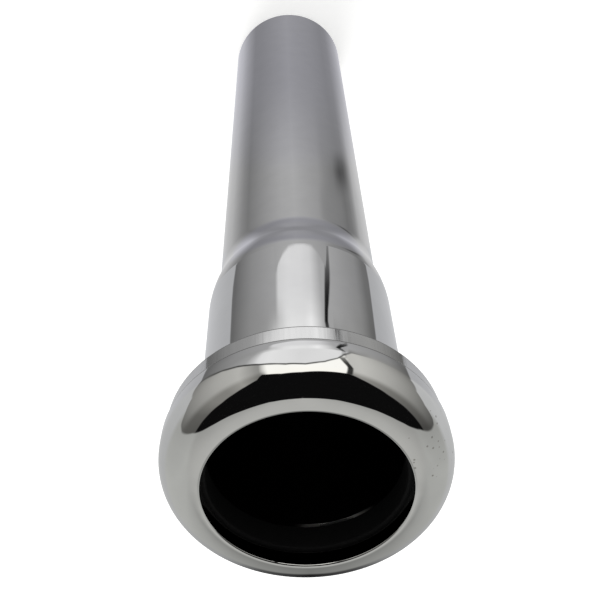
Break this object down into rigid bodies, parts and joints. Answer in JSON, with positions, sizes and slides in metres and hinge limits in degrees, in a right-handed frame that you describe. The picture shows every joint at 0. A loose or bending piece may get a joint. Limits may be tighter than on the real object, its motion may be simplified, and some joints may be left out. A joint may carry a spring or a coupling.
{
  "type": "basin waste tail pipe",
  "caption": "Chrome slip-joint tail pipe for a basin waste: a plain tube that flares to a socket, closed by a rounded slip nut over a black rubber washer.",
  "frame": {"origin": "centre of the tube's plain end, on the tube's axis, at the lowest point", "axes": "+Z runs along the tube's axis from the plain end up to the slip nut; X and Y are any two level directions, as the part is round"},
  "size_m": [0.0471, 0.047, 0.1848],
  "materials": {
    "chrome_tube": "polished chrome plate on brass tube",
    "chrome_nut": "polished chrome plate",
    "black_rubber": "matt black rubber"
  },
  "bodies": {
    "tube": {"tail_tube": "chrome_tube"},
    "washer": {"slip_washer": "black_rubber"},
    "nut": {"slip_nut": "chrome_nut"}
  },
  "joints": [
    {"name": "nut_travel", "type": "slide", "parent": "tube", "child": "washer", "axis": [0, 0, 1], "range_m": [0, 0.00442]},
    {"name": "nut_turn", "type": "hinge", "parent": "washer", "child": "nut", "pos_m": [0, 0, 0.1782], "axis": [0, 0, 1], "range_deg": [0, 720]}
  ],
  "couplings": [
    {"joint": "nut_travel", "follows": "nut_turn", "m_per_rad": 0.00035152}
  ]
}
